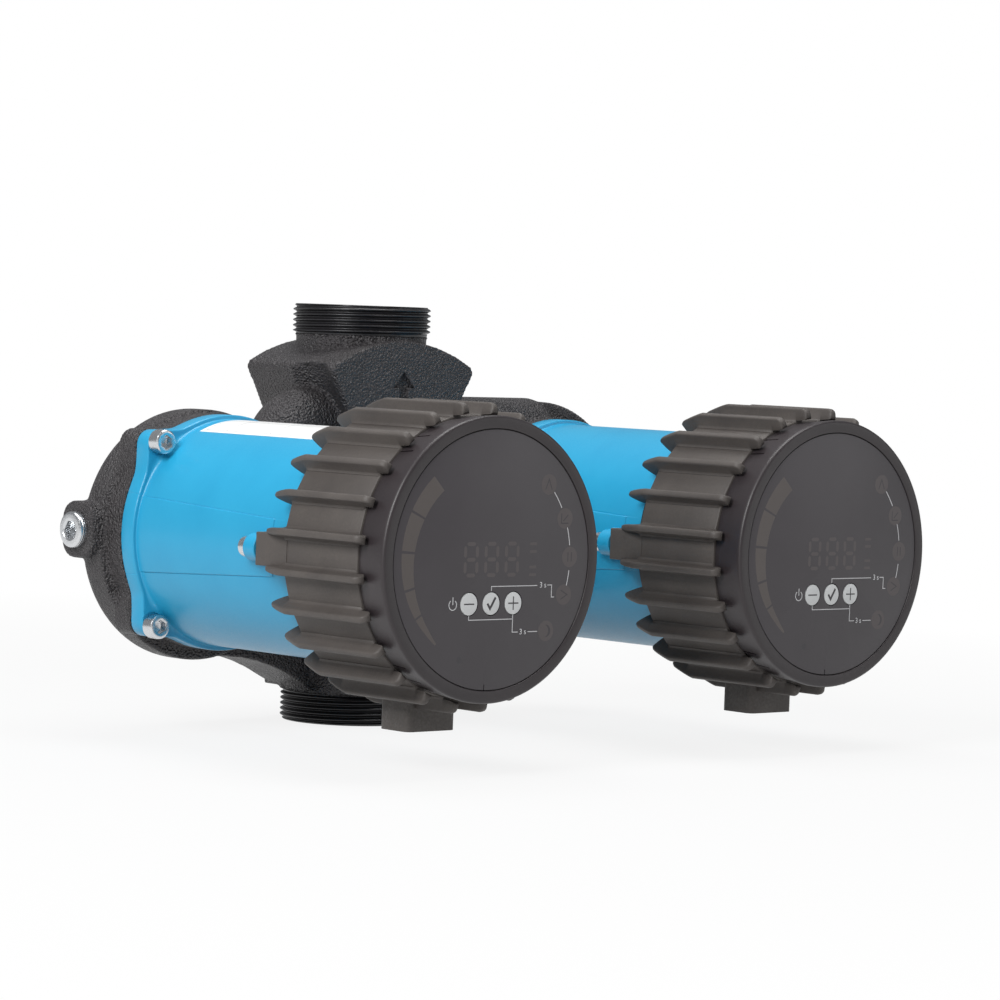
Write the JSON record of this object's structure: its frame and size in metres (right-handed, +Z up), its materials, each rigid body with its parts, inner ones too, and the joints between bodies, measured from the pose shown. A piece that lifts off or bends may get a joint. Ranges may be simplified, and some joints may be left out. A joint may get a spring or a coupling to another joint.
{
  "type": "circulation pump",
  "caption": "Twin-head canned-motor circulation pump with finned electronics housings, on one cast in-line housing with threaded ports.",
  "frame": {"origin": "centre of the inlet's sealing face, at the bottom of the lower threaded port", "axes": "+Z up the port axis towards the outlet, the motors face -Y, +X to the right when one looks at the control panels"},
  "size_m": [0.3102, 0.2251, 0.18],
  "materials": {
    "cast_iron": "rough cast, dark coated",
    "blue_paint": "satin",
    "fin_grey": "fine matt coat",
    "cover_grey": "fine grain",
    "panel_black": "satin",
    "key_white": "satin",
    "zinc_steel": "bright zinc",
    "stainless": "turned",
    "lamination": "stacked sheet",
    "copper": "copper",
    "contact_brass": "plain",
    "seal_rubber": "matt",
    "carbon": "ground carbon",
    "impeller_plastic": "moulded",
    "board_green": "solder mask",
    "label": "printed film"
  },
  "bodies": {
    "pump": {"pump_housing": "cast_iron", "flap_pin": "stainless", "vent_plugs": "zinc_steel", "plug_seals": "copper", "rating_label": "label", "left_casing_seal": "seal_rubber", "left_bearing_plate": "stainless", "left_rotor_can": "stainless", "left_front_bearing": "carbon", "left_rear_bearing": "carbon", "left_stator_core": "lamination", "left_stator_windings": "copper", "left_motor_housing": "blue_paint", "left_flange_screws": "zinc_steel", "left_electronics_housing": "fin_grey", "left_housing_screws": "zinc_steel", "left_circuit_board": "board_green", "left_front_cover": "cover_grey", "left_display_panel": "panel_black", "left_cable_socket": "cover_grey", "left_socket_pins": "contact_brass", "right_casing_seal": "seal_rubber", "right_bearing_plate": "stainless", "right_rotor_can": "stainless", "right_front_bearing": "carbon", "right_rear_bearing": "carbon", "right_stator_core": "lamination", "right_stator_windings": "copper", "right_motor_housing": "blue_paint", "right_flange_screws": "zinc_steel", "right_electronics_housing": "fin_grey", "right_housing_screws": "zinc_steel", "right_circuit_board": "board_green", "right_front_cover": "cover_grey", "right_display_panel": "panel_black", "right_cable_socket": "cover_grey", "right_socket_pins": "contact_brass"},
    "flap": {"changeover_flap": "stainless"},
    "left_rotor_set": {"left_shaft": "stainless", "left_rotor": "stainless", "left_impeller": "impeller_plastic"},
    "left_minus_button": {"left_minus_key": "key_white"},
    "left_enter_button": {"left_enter_key": "key_white"},
    "left_plus_button": {"left_plus_key": "key_white"},
    "right_rotor_set": {"right_shaft": "stainless", "right_rotor": "stainless", "right_impeller": "impeller_plastic"},
    "right_minus_button": {"right_minus_key": "key_white"},
    "right_enter_button": {"right_enter_key": "key_white"},
    "right_plus_button": {"right_plus_key": "key_white"}
  },
  "joints": [
    {"name": "left_rotor_turn", "type": "hinge", "parent": "pump", "child": "left_rotor_set", "pos_m": [-0.095, 0, 0.084], "axis": [0, 1, 0], "continuous": true},
    {"name": "left_minus_press", "type": "slide", "parent": "pump", "child": "left_minus_button", "axis": [0, 1, 0], "range_m": [0, 0.0004], "stiffness_N_per_m": 2000},
    {"name": "left_enter_press", "type": "slide", "parent": "pump", "child": "left_enter_button", "axis": [0, 1, 0], "range_m": [0, 0.0004], "stiffness_N_per_m": 2000},
    {"name": "left_plus_press", "type": "slide", "parent": "pump", "child": "left_plus_button", "axis": [0, 1, 0], "range_m": [0, 0.0004], "stiffness_N_per_m": 2000},
    {"name": "right_rotor_turn", "type": "hinge", "parent": "pump", "child": "right_rotor_set", "pos_m": [0.095, 0, 0.084], "axis": [0, 1, 0], "continuous": true},
    {"name": "right_minus_press", "type": "slide", "parent": "pump", "child": "right_minus_button", "axis": [0, 1, 0], "range_m": [0, 0.0004], "stiffness_N_per_m": 2000},
    {"name": "right_enter_press", "type": "slide", "parent": "pump", "child": "right_enter_button", "axis": [0, 1, 0], "range_m": [0, 0.0004], "stiffness_N_per_m": 2000},
    {"name": "right_plus_press", "type": "slide", "parent": "pump", "child": "right_plus_button", "axis": [0, 1, 0], "range_m": [0, 0.0004], "stiffness_N_per_m": 2000},
    {"name": "flap_swing", "type": "hinge", "parent": "pump", "child": "flap", "pos_m": [0, 0, 0.12], "axis": [0, 1, 0], "range_deg": [0, 80]}
  ]
}
